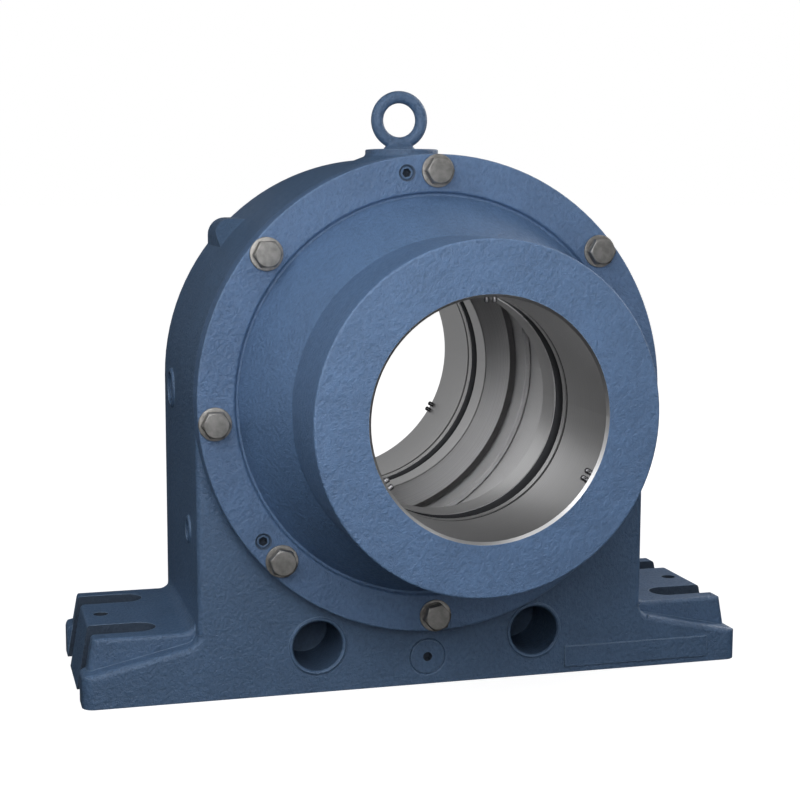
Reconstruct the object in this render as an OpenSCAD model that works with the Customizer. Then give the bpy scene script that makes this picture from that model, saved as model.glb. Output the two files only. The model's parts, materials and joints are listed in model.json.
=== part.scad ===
// One-piece pillow block housing for a large shaft bearing.
// A single cast body stands on two slotted feet. A long flanged cover is bolted
// to each of its machined faces. X runs along the base, Y along the shaft axis
// (front at -Y), Z up, and the origin is the middle of the underside.

/* [Base] */
// Overall length of the base along X
base_length = 860; // [840:1:980]
// Depth of the body and base along the shaft axis
body_depth = 284; // [260:1:340]
// Height of the shaft axis above the underside
axis_height = 370; // [364:1:420]
// Height of the bolted feet
foot_height = 81; // [74:1:100]
// How far the top of a foot stands back from the end of the base
foot_end_inset = 15; // [8:1:24]
// How far the walls of a foot stand back from the front and rear faces
foot_side_inset = 22; // [14:1:26]
// Height of the front and rear rails at the ends of the base
rail_end_height = 39.6; // [30:0.2:50]
// Height of the rails where they run up into the body
rail_root_height = 70.6; // [60:0.2:73]
// Thickness of a rail where it stands past the foot
rail_thickness = 44; // [30:1:45]
// Corner radius of the base seen from above
rail_corner_r = 15; // [8:1:20]
// Rounding of the cast outer edges
cast_edge_r = 8; // [4:0.5:10]
// Fillet where the feet and rails meet the body
root_fillet_r = 15; // [8:1:20]

/* [Foundation holes] */
// Width of the open-ended slots for the foundation bolts
slot_width = 44; // [34:1:46]
// How far a slot's round end is set in from the end of the base
slot_reach = 74.5; // [70:0.5:85]
// Distance along Y between the front and rear slots
slot_pitch = 149; // [146:1:152]
// Diameter of the dowel hole in each foot
dowel_d = 19; // [12:0.5:26]
// How far a dowel hole is set in from the end of the base
dowel_inset = 36; // [32:0.5:45]

/* [Body] */
// Width of the body, which is also the diameter of its round top
body_width = 580; // [576:1:604]
// Diameter of the machined bearing seat
seat_d = 464; // [440:1:466]
// Diameter of the blind core holes in the lower front and rear faces
core_hole_d = 63.4; // [40:0.2:66]
// Depth of a core hole
core_hole_depth = 90; // [30:1:120]
// Distance between the two core holes of one face
core_hole_span = 283.4; // [270:0.2:300]
// Height of the core holes above the underside
core_hole_height = 59.4; // [56:0.2:61]
// Width of the raised ring round a core hole
core_ring_w = 4.9; // [2:0.1:6]
// How far cast pads and rings stand proud of the body
cast_pad_h = 2; // [0.8:0.1:3]
// Width of the bare cast pad on the front rail
bare_pad_w = 201; // [150:1:206]
// Height of the bare cast pad
bare_pad_h = 27; // [18:1:30]
// Outer corner radius of the cast lug on the left of the round top
lug_r = 23; // [18:0.5:25]
// Length of the lug along the shaft axis
lug_length = 108; // [80:1:120]

/* [Front cover] */
// Diameter of the front cover's flange
front_flange_d = 586; // [586:1:600]
// Thickness of both flanges
flange_t = 31.5; // [24:0.5:40]
// Diameter of the front hub
front_hub_d = 400; // [380:1:420]
// Bore of the front cover
front_bore_d = 272; // [240:1:300]
// Length of the cone between flange and hub
cone_length = 93; // [85:1:110]
// Length of the straight hub
hub_length = 118; // [90:1:140]
// Diameter of the cone at its foot
cone_foot_d = 484; // [480:1:486]

/* [Rear cover] */
// Diameter of the rear cover's flange
rear_flange_d = 562; // [560:1:572]
// Diameter of the rear hub
rear_hub_d = 440; // [424:1:450]
// Bore of the rear cover
rear_bore_d = 362; // [330:1:372]
// Diameter of the rear cone at its foot
rear_foot_d = 472; // [460:1:474]

/* [Seals] */
// Depth of the wide seal groove in a cover bore
seal_groove_depth = 11; // [6:0.5:13]
// Length of the wide seal groove
seal_groove_w = 28; // [20:1:32]
// Thickness of the rubber ring in the narrow groove of a cover bore
bore_ring_t = 5.6; // [4:0.1:7]
// Thickness of the rubber ring under a flange
flange_ring_t = 5; // [3:0.1:6]
// Length of the spigot that centres a cover in the seat
spigot_length = 14; // [12:0.5:20]
// Wall of the spigot
spigot_wall = 8; // [7:0.5:12]

/* [Cover bolts] */
// Thread diameter of the cover bolts
bolt_d = 20; // [16:1:21]
// Pitch circle of the front bolts
front_bolt_circle = 546; // [540:1:546]
// Pitch circle of the rear bolts
rear_bolt_circle = 521; // [518:1:522]
// Width across flats of a bolt head
head_af = 30; // [26:0.5:32]
// Height of a bolt head
head_h = 12.5; // [9:0.5:16]
// Washer diameter
washer_d = 40; // [34:0.5:40]
// Washer thickness
washer_t = 3; // [2:0.5:4]
// Length of bolt in the body
bolt_grip = 32; // [20:1:40]
// Thread diameter of the jacking screws
jack_d = 16; // [12:1:18]

/* [Lifting eye] */
// Inner diameter of the eye
eye_inner_d = 43; // [36:0.5:50]
// Thickness of the eye
eye_wire_d = 16; // [12:0.5:18]
// Collar diameter
eye_collar_d = 40; // [34:1:44]
// Collar height
eye_collar_h = 8; // [5:0.5:8.5]
// Thread diameter of the eye's shank
eye_thread_d = 20; // [16:1:24]
// Diameter of the cast boss under the eye
eye_boss_d = 88; // [70:1:96]
// How far the boss stands above the round top
eye_boss_h = 11; // [9:0.5:16]

/* [Plugs] */
// Diameter of the plug below a cover, as a share of the wall under the front flange
base_plug_share = 0.58; // [0.4:0.01:0.6]
// Height of that plug above the underside, as a share of the same wall
base_plug_rise = 0.457; // [0.4:0.001:0.5]
// Diameter of the upper side plugs
upper_plug_d = 42; // [30:0.5:46]
// Distance of the upper side plugs below the shaft axis
upper_plug_drop = 8.5; // [4:0.5:20]
// Distance of the upper side plugs behind the middle of the body
upper_plug_y = 63.5; // [50:0.5:75]
// Diameter of the lower side plugs
lower_plug_d = 26; // [20:0.5:32]
// Distance of the lower side plugs below the shaft axis
lower_plug_drop = 168.7; // [150:0.1:185]
// Distance of the lower side plugs in front of the middle of the body
lower_plug_y = 75.5; // [60:0.5:85]
// Length of every plug in its hole
plug_length = 18; // [12:1:24]
// Diameter of the small set screws in the mouth of each cover bore
mouth_screw_d = 6.4; // [4:0.2:8]

/* [Hidden] */
$fn = 96;
eps = 0.02;
// Radial clearance of turned and screwed fits
fit = 0.04;
// Radial clearance of a bolt in its cover hole
hole_play = 1;
// Depth left under a screw in a blind hole
blind_rest = 6;
// Angles on a cover from the top, positive to the left of the front view
bolt_angles = [0, 50, 95, 135, 180, 225, 265, 310];
jack_angles = [8, 128, 248];
mouth_angles = [0, 120, 240];
half_l = base_length / 2;
half_d = body_depth / 2;
half_w = body_width / 2;
seat_r = seat_d / 2;
top_z = axis_height + half_w;
foot_top_x = half_l - foot_end_inset;
foot_half_y = half_d - foot_side_inset;
foot_edge_r = 0.7 * cast_edge_r;
// Rounded edges and fillets stop this far inside the faces they run into, so no two surfaces only graze
graze = 0.06;
root_x = half_w - 2 * graze;
rail_half_y = half_d - graze;
// The chamfer at the mouth of the seat leaves room for the ring under the flange
ring_play = 0.1;
ring_seat_w = (flange_ring_t / 2 + ring_play) / (1 - sqrt(0.5));
under_flange = axis_height - front_flange_d / 2;
base_plug_d = base_plug_share * under_flange;
base_plug_height = base_plug_rise * under_flange;
core_ring_h = 2.4;
side_ring_h = 3;
rim_chamfer = 2;
bare_pad_x = 285;
bare_pad_z = 8;
// Lug on the left shoulder, level on top and upright outside, sloping away to the front
lug_angle = 47.7;
lug_reach = half_w - 9.4;
lug_rear_y = half_d - 14;
lug_slope = 16;
boss_z = top_z + eye_boss_h;
eye_r = (eye_inner_d + eye_wire_d) / 2;
eye_z = boss_z + eye_r + eye_wire_d / 2;
eye_shank = 30;
// The boss under the eye runs this far on to the front, and its skirt falls by this angle
eye_boss_run = 22;
eye_skirt = 74;
eye_skirt_fall = 21;
// Cover lengths counted outward from the face of the body
hub_end = flange_t + cone_length + hub_length;
gutter_w = 5;
gutter_depth = 4;
neck_step = 3.5;
lip_start = flange_t + 5;
wide_groove_s = flange_t + 46;
ring_groove_w = bore_ring_t + 0.4;
ring_groove_s = wide_groove_s + seal_groove_w + 10;
mouth_chamfer = 3;
mouth_screw_s = hub_end - 9;
mouth_screw_gap = 9.4;
mouth_screw_l = 14;

function arc(cx, cy, r, a0, a1, n = 6) =
    [for (i = [0:n]) let (a = a0 + (a1 - a0) * i / n) [cx + r * cos(a), cy + r * sin(a)]];

// Unit vector from one point to another
function unit(a, b) = (b - a) / norm(b - a);

// Points of the corner at p between a and b, rounded with radius r
function corner(a, p, b, r, n = 6) =
    let (u = unit(p, a), v = unit(p, b), h = acos(u * v) / 2, c = p + unit([0, 0], u + v) * r / sin(h),
        s = p + u * r / tan(h) - c, e = p + v * r / tan(h) - c, a0 = atan2(s[1], s[0]),
        d = atan2(s[0] * e[1] - s[1] * e[0], s * e))
    [for (i = [0:n]) c + r * [cos(a0 + d * i / n), sin(a0 + d * i / n)]];

// Outline whose points are [x, y, corner radius]
function rounded(pts) =
    let (m = len(pts), q = [for (p = pts) [p[0], p[1]]])
    [for (i = [0:m - 1], p = pts[i][2] > 0 ? corner(q[(i + m - 1) % m], q[i], q[(i + 1) % m], pts[i][2]) : [q[i]]) p];

// How far a fillet of radius r reaches up a wall from a floor that falls away by an angle
function fillet_reach(r, fall) = r / tan((90 + fall) / 2);

// Turns a shape built along Z so that it starts on the front or rear face and points outward
module outward(side) {
    translate([0, side * half_d, axis_height]) rotate([-90 * side, 0, 0]) children();
}

// Repeats a shape round the axis of a shape made for outward()
module on_circle(side, radius, angles) {
    for (a = angles)
        translate([-radius * sin(a), -side * radius * cos(a), 0]) rotate(-side * (90 + a)) children();
}

// Rectangle with round corners, centred
module round_rect(w, d, r) {
    square([w - 2 * r, d], center = true);
    square([w, d - 2 * r], center = true);
    for (x = [-1, 1], y = [-1, 1])
        translate([x * (w / 2 - r), y * (d / 2 - r)]) circle(r = r);
}

// What a rounded edge takes away: n1 and n2 are the outward normals of its two faces
module edge_round(p, n1, n2, length, r) {
    c = cross(n1, n2);
    multmatrix([[n1[0], n2[0], c[0], p[0]], [n1[1], n2[1], c[1], p[1]], [n1[2], n2[2], c[2], p[2]], [0, 0, 0, 1]])
        translate([0, 0, -length / 2]) linear_extrude(length)
            difference() {
                translate([-r, -r]) square(r + 1);
                translate([graze - r, graze - r]) circle(r = r);
            }
}

// What the rounded edge of a fillet takes away, round the fillet's centre on a front or rear face
module fillet_round(p, side, fillet, r) {
    translate(p) rotate([90 * side, 0, 0]) rotate_extrude() difference() {
        translate([fillet - 1, -1]) square(r + 1);
        translate([fillet + r - graze, r - graze]) circle(r = r);
    }
}

// Rounded upper edge of a rail or foot with the edge of its fillet, on the face at y
module upper_edge_round(y, side, root_h, fall, r) {
    f = root_fillet_r;
    reach = fillet_reach(f, fall);
    start = [root_x + reach * cos(fall), y, root_h - reach * sin(fall)];
    edge_round(start + half_l / 2 * [cos(fall), 0, -sin(fall)], [0, side, 0], [sin(fall), 0, cos(fall)], half_l, r);
    intersection() {
        fillet_round([root_x + f, y, root_h + reach], side, f, r);
        translate([root_x, y, root_h + reach]) rotate([90, 0, 0]) linear_extrude(4 * r, center = true)
            polygon([[f, 0], [-2 * r, 0], [-2 * r, -3 * f], [f, 0] - 3 * f * [sin(fall), cos(fall)]]);
    }
}

// Right side of the base or of a foot seen from the front, with its fillet against the body
module side_profile(top_x, end_h, root_h, tip_r) {
    reach = fillet_reach(root_fillet_r, atan((root_h - end_h) / (top_x - root_x)));
    polygon(rounded([[half_w - 20, 0, 0], [half_l, 0, 0], [top_x, end_h, tip_r], [root_x, root_h, root_fillet_r],
        [root_x, root_h + reach + eps, 0], [half_w - 20, root_h + reach + eps, 0]]));
}

// Upright prism with a round top, every outer edge rounded
module body_block() {
    linear_extrude(axis_height) round_rect(body_width, body_depth, cast_edge_r);
    translate([0, 0, axis_height]) rotate([90, 0, 0])
        rotate_extrude(angle = 180, $fn = 180) intersection() {
            round_rect(body_width, body_depth, cast_edge_r);
            translate([0, -half_d]) square([half_w, body_depth]);
        }
}

// Sloping front and rear rails of one side
module rails() {
    fall = atan((rail_root_height - rail_end_height) / (half_l - root_x));
    for (s = [-1, 1]) intersection() {
        difference() {
            translate([0, s * (rail_half_y - rail_thickness / 2), 0]) rotate([90, 0, 0])
                linear_extrude(rail_thickness, center = true)
                    side_profile(half_l, rail_end_height, rail_root_height, cast_edge_r);
            upper_edge_round(s * rail_half_y, s, rail_root_height, fall, cast_edge_r);
        }
        linear_extrude(2 * foot_height) round_rect(base_length, 2 * rail_half_y, rail_corner_r);
    }
}

// Bolted foot of one side: upright walls, a drafted end and rounded top edges
module foot() {
    draft = atan(foot_end_inset / foot_height);
    difference() {
        rotate([90, 0, 0]) linear_extrude(2 * foot_half_y, center = true)
            side_profile(foot_top_x, foot_height, foot_height, foot_edge_r);
        for (s = [-1, 1]) {
            upper_edge_round(s * foot_half_y, s, foot_height, 0, foot_edge_r);
            edge_round([half_l, s * foot_half_y, 0], [0, s, 0], [cos(draft), 0, sin(draft)],
                4 * foot_height, cast_edge_r);
        }
    }
}

// Open-ended slots and the dowel hole of one foot
module foot_holes() {
    for (s = [-1, 1]) translate([half_l - slot_reach, s * slot_pitch / 2, -1]) {
        cylinder(d = slot_width, h = foot_height + 2);
        translate([0, -slot_width / 2, 0]) cube([half_l, slot_width, foot_height + 2]);
    }
    translate([half_l - dowel_inset, 0, -1]) cylinder(d = dowel_d, h = foot_height + 2);
}

// Oblong boss under the lifting eye, with a skirt that falls into the round top
module eye_boss() {
    r = eye_boss_d / 2;
    b = 5;
    out = r + eye_skirt;
    out_z = sqrt(half_w * half_w - out * out) - half_w - 0.5;
    turn_z = out_z + tan(eye_skirt_fall) * (out - r - b + b * sin(eye_skirt_fall)) + b * cos(eye_skirt_fall);
    section = concat([[0, -60], [out, -60], [out, out_z]], arc(r + b, turn_z, b, 270 - eye_skirt_fall, 180),
        arc(r - 2, eye_boss_h - 2, 2, 0, 90, 3), [[0, eye_boss_h]]);
    translate([0, 0, top_z]) {
        rotate_extrude(angle = 180) polygon(section);
        rotate([90, 0, 0]) linear_extrude(eye_boss_run) for (m = [0, 1]) mirror([m, 0]) polygon(section);
        translate([0, -eye_boss_run, 0]) rotate([0, 0, 180]) rotate_extrude(angle = 180) polygon(section);
    }
}

// Cast lug, its level top and upright side running into the round top
module lug() {
    front_y = lug_rear_y - lug_length;
    difference() {
        translate([-lug_reach * sin(lug_angle), lug_rear_y, axis_height + lug_reach * cos(lug_angle)])
            rotate([90, 0, 0]) linear_extrude(lug_length) {
                circle(r = lug_r);
                translate([0, -30]) square([36, 30 + lug_r]);
                translate([-lug_r, -48]) square([lug_r + 5, 48]);
            }
        translate([0, 0, axis_height]) rotate([0, -lug_angle, 0]) translate([-80, front_y, half_w - 2])
            rotate([lug_slope, 0, 0]) cube([160, 2 * lug_length, 80]);
    }
}

// Raised cast ring with a round outer edge, sunk a little into the face under it
module cast_ring(d, h) {
    r = d / 2 + core_ring_w;
    rotate_extrude() polygon(concat([[0, -4], [r, -4]], arc(r - h, 0, h, 0, 90), [[0, h]]));
}

// Places a shape made along Z on the two core holes of one face
module at_core_holes(s) {
    for (x = [-1, 1])
        translate([x * core_hole_span / 2, s * half_d, core_hole_height]) rotate([-90 * s, 0, 0]) children();
}

module at_base_plug(s) {
    translate([0, s * half_d, base_plug_height]) rotate([-90 * s, 0, 0]) children();
}

module at_upper_plug(x) {
    translate([x * half_w, upper_plug_y, axis_height - upper_plug_drop]) rotate([0, 90 * x, 0]) children();
}

module at_lower_plug(x) {
    translate([x * half_w, -lower_plug_y, axis_height - lower_plug_drop]) rotate([0, 90 * x, 0]) children();
}

// Blind hole that starts above the face at z = 0 and ends at a depth
module blind_hole(r, depth) {
    translate([0, 0, -depth]) cylinder(r = r, h = depth + 5);
}

// Blind hole whose mouth, at a height, is chamfered
module chamfered_hole(r, depth, mouth_z) {
    blind_hole(r, depth);
    translate([0, 0, mouth_z - rim_chamfer]) cylinder(r1 = r, r2 = r + rim_chamfer + 1, h = rim_chamfer + 1);
}

// The cast body with its machined seat, feet and tapped holes
module housing_body() {
    color("#4d6c8f") difference() {
        union() {
            body_block();
            for (m = [0, 1]) mirror([m, 0, 0]) {
                rails();
                foot();
            }
            eye_boss();
            lug();
            for (s = [-1, 1]) {
                at_core_holes(s) cast_ring(core_hole_d, core_ring_h);
                at_upper_plug(s) cast_ring(upper_plug_d, side_ring_h);
                at_lower_plug(s) cast_ring(lower_plug_d, side_ring_h);
            }
            translate([bare_pad_x - bare_pad_w / 2, -half_d - cast_pad_h, bare_pad_z])
                cube([bare_pad_w, 6, bare_pad_h]);
        }
        for (m = [0, 1]) mirror([m, 0, 0]) foot_holes();
        translate([0, half_d + 1, axis_height]) rotate([90, 0, 0]) cylinder(r = seat_r, h = body_depth + 2, $fn = 180);
        for (s = [-1, 1]) {
            outward(s) translate([0, 0, -ring_seat_w])
                cylinder(r1 = seat_r, r2 = seat_r + ring_seat_w + 1, h = ring_seat_w + 1, $fn = 180);
            at_core_holes(s) chamfered_hole(core_hole_d / 2, core_hole_depth, core_ring_h);
            at_base_plug(s) chamfered_hole(base_plug_d / 2 + fit, plug_length, 0);
            at_upper_plug(s) blind_hole(upper_plug_d / 2 + fit, plug_length);
            at_lower_plug(s) blind_hole(lower_plug_d / 2 + fit, plug_length);
            outward(s) on_circle(s, (s < 0 ? front_bolt_circle : rear_bolt_circle) / 2, bolt_angles)
                blind_hole(bolt_d / 2 + fit, bolt_grip + blind_rest);
        }
        translate([0, 0, boss_z]) blind_hole(eye_thread_d / 2 + fit, eye_shank + blind_rest);
    }
}

// Half section of a cover, radius against the distance out from the body
module cover_section(flange_d, foot_d, hub_d, bore_d) {
    f = flange_d / 2;
    lip = foot_d / 2 + gutter_w;
    h = hub_d / 2;
    b = bore_d / 2;
    inner = seat_r - spigot_wall;
    cone_end = flange_t + cone_length;
    polygon(concat(
        [[inner, -spigot_length], [seat_r - fit - 1, -spigot_length], [seat_r - fit, 1 - spigot_length],
            [seat_r - fit, 0], [f, 0]],
        arc(f - 2, flange_t - 2, 2, 0, 90, 3),
        arc(lip + 3.5, flange_t - 3.5, 3.5, 90, 180, 5),
        arc(lip - gutter_w / 2, flange_t - gutter_depth + 1, gutter_w / 2, 360, 240, 5),
        [[h - neck_step, cone_end - 1], [h - neck_step - 1, cone_end], [h - 1, cone_end + 2]],
        arc(h - 2.5, hub_end - 2.5, 2.5, 0, 90, 4),
        [[b + mouth_chamfer, hub_end], [b, hub_end - mouth_chamfer],
            [b, ring_groove_s + ring_groove_w], [b + bore_ring_t + 0.3, ring_groove_s + ring_groove_w],
            [b + bore_ring_t + 0.3, ring_groove_s], [b, ring_groove_s],
            [b, wide_groove_s + seal_groove_w], [b + seal_groove_depth, wide_groove_s + seal_groove_w - 2],
            [b + seal_groove_depth, wide_groove_s + 2], [b, wide_groove_s],
            [b, lip_start + 1], [b + 1, lip_start], [inner - 6, lip_start], [inner, lip_start - 6]]));
}

// Cover of one side with its bolt, jacking and set screw holes
module cover(s, flange_d, foot_d, hub_d, bore_d, circle_d) {
    outward(s) difference() {
        rotate_extrude($fn = 180) cover_section(flange_d, foot_d, hub_d, bore_d);
        on_circle(s, circle_d / 2, bolt_angles) translate([0, 0, -1])
            cylinder(r = bolt_d / 2 + hole_play, h = flange_t + 2);
        on_circle(s, circle_d / 2, jack_angles) {
            translate([0, 0, -1]) cylinder(r = jack_d / 2 + fit, h = flange_t + 2);
            translate([0, 0, flange_t - 1.6]) cylinder(r1 = jack_d / 2, r2 = jack_d / 2 + 2.6, h = 2.6);
        }
        at_mouth_screws(s, bore_d) translate([0, 0, -3])
            cylinder(r = mouth_screw_d / 2 + fit, h = mouth_screw_l + 3.5, $fn = 32);
    }
}

// Places a shape on the pairs of set screws in a cover's mouth, Z pointing away from the shaft
module at_mouth_screws(s, bore_d) {
    on_circle(s, bore_d / 2, mouth_angles) for (t = [-1, 1])
        translate([0, t * mouth_screw_gap / 2, mouth_screw_s]) rotate([0, 90, 0]) children();
}

module front_cover() {
    color("#57779b") cover(-1, front_flange_d, cone_foot_d, front_hub_d, front_bore_d, front_bolt_circle);
}

module rear_cover() {
    color("#57779b") cover(1, rear_flange_d, rear_foot_d, rear_hub_d, rear_bore_d, rear_bolt_circle);
}

// Hexagon bolt, its head standing on z = 0
module hex_bolt() {
    translate([0, 0, -washer_t - flange_t - bolt_grip]) {
        cylinder(r1 = bolt_d / 2 - 1.5, r2 = bolt_d / 2, h = 1.5);
        translate([0, 0, 1.5]) cylinder(r = bolt_d / 2, h = washer_t + flange_t + bolt_grip - 1);
    }
    intersection() {
        cylinder(d = head_af / cos(30), h = head_h, $fn = 6);
        cylinder(r1 = 0.475 * head_af + head_h * tan(60), r2 = 0.475 * head_af, h = head_h);
    }
}

module cover_bolts(s, circle_d) {
    outward(s) on_circle(s, circle_d / 2, bolt_angles) translate([0, 0, flange_t + washer_t]) hex_bolt();
}

module cover_washers(s, circle_d) {
    outward(s) on_circle(s, circle_d / 2, bolt_angles) translate([0, 0, flange_t]) difference() {
        union() {
            cylinder(d = washer_d, h = washer_t - 0.5);
            translate([0, 0, washer_t - 0.5]) cylinder(d1 = washer_d, d2 = washer_d - 1, h = 0.5);
        }
        translate([0, 0, -1]) cylinder(d = bolt_d + 1, h = washer_t + 2);
    }
}

module front_cover_bolts() {
    color("#a59b90") cover_bolts(-1, front_bolt_circle);
}

module front_cover_washers() {
    color("#9a9186") cover_washers(-1, front_bolt_circle);
}

module rear_cover_bolts() {
    color("#a59b90") cover_bolts(1, rear_bolt_circle);
}

module rear_cover_washers() {
    color("#9a9186") cover_washers(1, rear_bolt_circle);
}

// Headless screw with a hexagon socket, its outer end at z = 0
module socket_plug(d, length, socket_af, socket_depth) {
    translate([0, 0, -length]) difference() {
        union() {
            cylinder(d1 = d - 2, d2 = d, h = 1);
            translate([0, 0, 1]) cylinder(d = d, h = length - 2);
            translate([0, 0, length - 1]) cylinder(d1 = d, d2 = d - 2, h = 1);
        }
        translate([0, 0, length - socket_depth])
            cylinder(d = socket_af / cos(30), h = socket_depth + 1, $fn = 6);
    }
}

module jacking_screws(s, circle_d) {
    outward(s) on_circle(s, circle_d / 2, jack_angles) translate([0, 0, flange_t - 1.5])
        socket_plug(jack_d, flange_t - 2, 0.6 * jack_d, 0.6 * jack_d);
}

module front_jacking_screws() {
    color("#3f5670") jacking_screws(-1, front_bolt_circle);
}

module rear_jacking_screws() {
    color("#3f5670") jacking_screws(1, rear_bolt_circle);
}

// Rubber ring in the corner of flange, spigot and chamfer
module flange_ring(s) {
    r = flange_ring_t / 2;
    outward(s) rotate_extrude() translate([seat_r - fit + ring_play + r, -ring_play - r]) circle(r = r, $fn = 32);
}

// Rubber ring in the narrow groove of a cover bore
module bore_ring(s, bore_d) {
    outward(s) rotate_extrude() translate([(bore_d + bore_ring_t) / 2 + 0.15, ring_groove_s + ring_groove_w / 2])
        circle(d = bore_ring_t, $fn = 32);
}

module front_flange_ring() {
    color("#1b1b1c") flange_ring(-1);
}

module rear_flange_ring() {
    color("#1b1b1c") flange_ring(1);
}

module front_bore_ring() {
    color("#1b1b1c") bore_ring(-1, front_bore_d);
}

module rear_bore_ring() {
    color("#1b1b1c") bore_ring(1, rear_bore_d);
}

// Pairs of small set screws in the mouth of a cover, flush with its bore
module mouth_screws(s, bore_d) {
    outward(s) at_mouth_screws(s, bore_d) translate([0, 0, 0.1]) difference() {
        cylinder(d = mouth_screw_d, h = mouth_screw_l, $fn = 32);
        translate([0, 0, -1]) cylinder(d = 0.55 * mouth_screw_d, h = 3.5, $fn = 6);
    }
}

module front_mouth_screws() {
    color("#8d8d8f") mouth_screws(-1, front_bore_d);
}

module rear_mouth_screws() {
    color("#8d8d8f") mouth_screws(1, rear_bore_d);
}

// Lifting eye: ring, collar with a tapered neck, and shank
module eyebolt() {
    color("#4d6c8f") {
        translate([0, 0, eye_z]) rotate([90, 0, 0])
            rotate_extrude() translate([eye_r, 0]) circle(d = eye_wire_d, $fn = 48);
        translate([0, 0, boss_z]) {
            rotate_extrude() polygon(concat([[0, 0], [eye_collar_d / 2 - 1, 0], [eye_collar_d / 2, 1]],
                arc(eye_collar_d / 2 - 2, eye_collar_h - 2, 2, 0, 90, 3),
                arc(eye_wire_d / 2 + 7, eye_collar_h + 4, 4, 270, 200, 4),
                [[eye_wire_d / 2 + 1, eye_wire_d - 2], [0, eye_wire_d - 2]]));
            translate([0, 0, -eye_shank]) cylinder(d = eye_thread_d, h = eye_shank + 1);
        }
    }
}

module base_plug(s) {
    color("#4d6c8f") at_base_plug(s) socket_plug(base_plug_d, plug_length, 10, 8);
}

module front_base_plug() {
    base_plug(-1);
}

module rear_base_plug() {
    base_plug(1);
}

module upper_plug(x) {
    color("#4d6c8f") at_upper_plug(x) translate([0, 0, -1]) socket_plug(upper_plug_d, plug_length - 1, 17, 9);
}

module lower_plug(x) {
    color("#4d6c8f") at_lower_plug(x) translate([0, 0, -1]) socket_plug(lower_plug_d, plug_length - 1, 12, 8);
}

module left_upper_plug() {
    upper_plug(-1);
}

module left_lower_plug() {
    lower_plug(-1);
}

module right_upper_plug() {
    upper_plug(1);
}

module right_lower_plug() {
    lower_plug(1);
}

housing_body();
front_cover();
rear_cover();
front_cover_bolts();
front_cover_washers();
rear_cover_bolts();
rear_cover_washers();
front_jacking_screws();
rear_jacking_screws();
front_flange_ring();
rear_flange_ring();
front_bore_ring();
rear_bore_ring();
front_mouth_screws();
rear_mouth_screws();
eyebolt();
front_base_plug();
rear_base_plug();
left_upper_plug();
left_lower_plug();
right_upper_plug();
right_lower_plug();
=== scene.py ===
"""Bearing housing: enamel, machined metal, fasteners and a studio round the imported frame."""

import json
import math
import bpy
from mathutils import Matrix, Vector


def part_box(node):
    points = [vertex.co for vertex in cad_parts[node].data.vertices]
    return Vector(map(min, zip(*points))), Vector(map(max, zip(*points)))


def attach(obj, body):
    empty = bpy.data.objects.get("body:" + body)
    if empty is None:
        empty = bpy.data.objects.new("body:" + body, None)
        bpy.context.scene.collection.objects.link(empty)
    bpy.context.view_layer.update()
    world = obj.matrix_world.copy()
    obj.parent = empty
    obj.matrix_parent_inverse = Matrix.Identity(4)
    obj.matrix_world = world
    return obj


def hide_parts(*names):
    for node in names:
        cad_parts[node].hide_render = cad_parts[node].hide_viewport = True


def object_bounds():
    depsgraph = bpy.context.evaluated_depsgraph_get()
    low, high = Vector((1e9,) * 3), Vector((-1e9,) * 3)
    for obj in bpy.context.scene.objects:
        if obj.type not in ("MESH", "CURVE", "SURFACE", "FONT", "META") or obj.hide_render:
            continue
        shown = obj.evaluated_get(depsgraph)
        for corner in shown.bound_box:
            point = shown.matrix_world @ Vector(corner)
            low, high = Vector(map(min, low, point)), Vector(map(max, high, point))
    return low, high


bl_info = {
    "name": "Bearing Housing",
    "version": (1, 0, 0),
    "blender": (4, 5, 0),
    "location": "View3D > Sidebar > Housing",
    "description": "Finishes a cast bearing housing with enamel, machined bores, fasteners and a lifting eye",
    "category": "Object",
}

from collections import namedtuple
from functools import reduce

import bmesh
import bpy
from bpy.props import FloatProperty, FloatVectorProperty, PointerProperty
from mathutils import Matrix, Vector

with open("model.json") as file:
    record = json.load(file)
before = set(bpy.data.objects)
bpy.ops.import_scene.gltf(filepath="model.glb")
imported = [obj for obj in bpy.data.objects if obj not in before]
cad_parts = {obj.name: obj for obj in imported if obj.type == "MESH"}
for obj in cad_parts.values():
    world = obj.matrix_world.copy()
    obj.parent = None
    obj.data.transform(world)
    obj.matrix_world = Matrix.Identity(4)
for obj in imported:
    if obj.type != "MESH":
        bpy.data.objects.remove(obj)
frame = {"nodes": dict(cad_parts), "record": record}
CAD_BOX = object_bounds()
NODES = frame["nodes"]
MOUNTS = {mount["name"]: mount for mount in frame["record"]["mounts"]}

MM = 0.001
X, Y, Z = range(3)
FRONT, REAR = -1, 1
SIDES = ((FRONT, "front"), (REAR, "rear"))

# Places and sizes that the frame gives
AXIS_Z = MOUNTS["front_bore"]["pos_m"][Z]
BORE_R = {side: MOUNTS[name + "_bore"]["dims"]["r_mm"] * MM for side, name in SIDES}
HUB_END = {FRONT: -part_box("front_cover")[0].y, REAR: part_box("rear_cover")[1].y}
FLANGE_FACE = {FRONT: -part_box("front_cover_washers")[1].y, REAR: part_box("rear_cover_washers")[0].y}
BODY_FACE = -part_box("front_base_plug")[0].y
BASE_END = CAD_BOX[1][X]
FOOT_TOP = MOUNTS["foundation_slots"]["pos_m"][Z]
SLOT = MOUNTS["foundation_slots"]["dims"]
SLOT_X, SLOT_Y, SLOT_R = SLOT["spacing_x_mm"] / 2 * MM, SLOT["spacing_y_mm"] / 2 * MM, SLOT["hole_r_mm"] * MM
DOWEL = MOUNTS["dowel_holes"]["dims"]
DOWEL_X, DOWEL_R = DOWEL["spacing_x_mm"] / 2 * MM, DOWEL["hole_r_mm"] * MM

# Sizes of the castings that the frame doesn't state
SEAT_R = 232 * MM
SEAT_CHAMFER = 9.5 * MM
CORE_X, CORE_Z, CORE_R = 141.7 * MM, 59.4 * MM, 31.7 * MM
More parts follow.
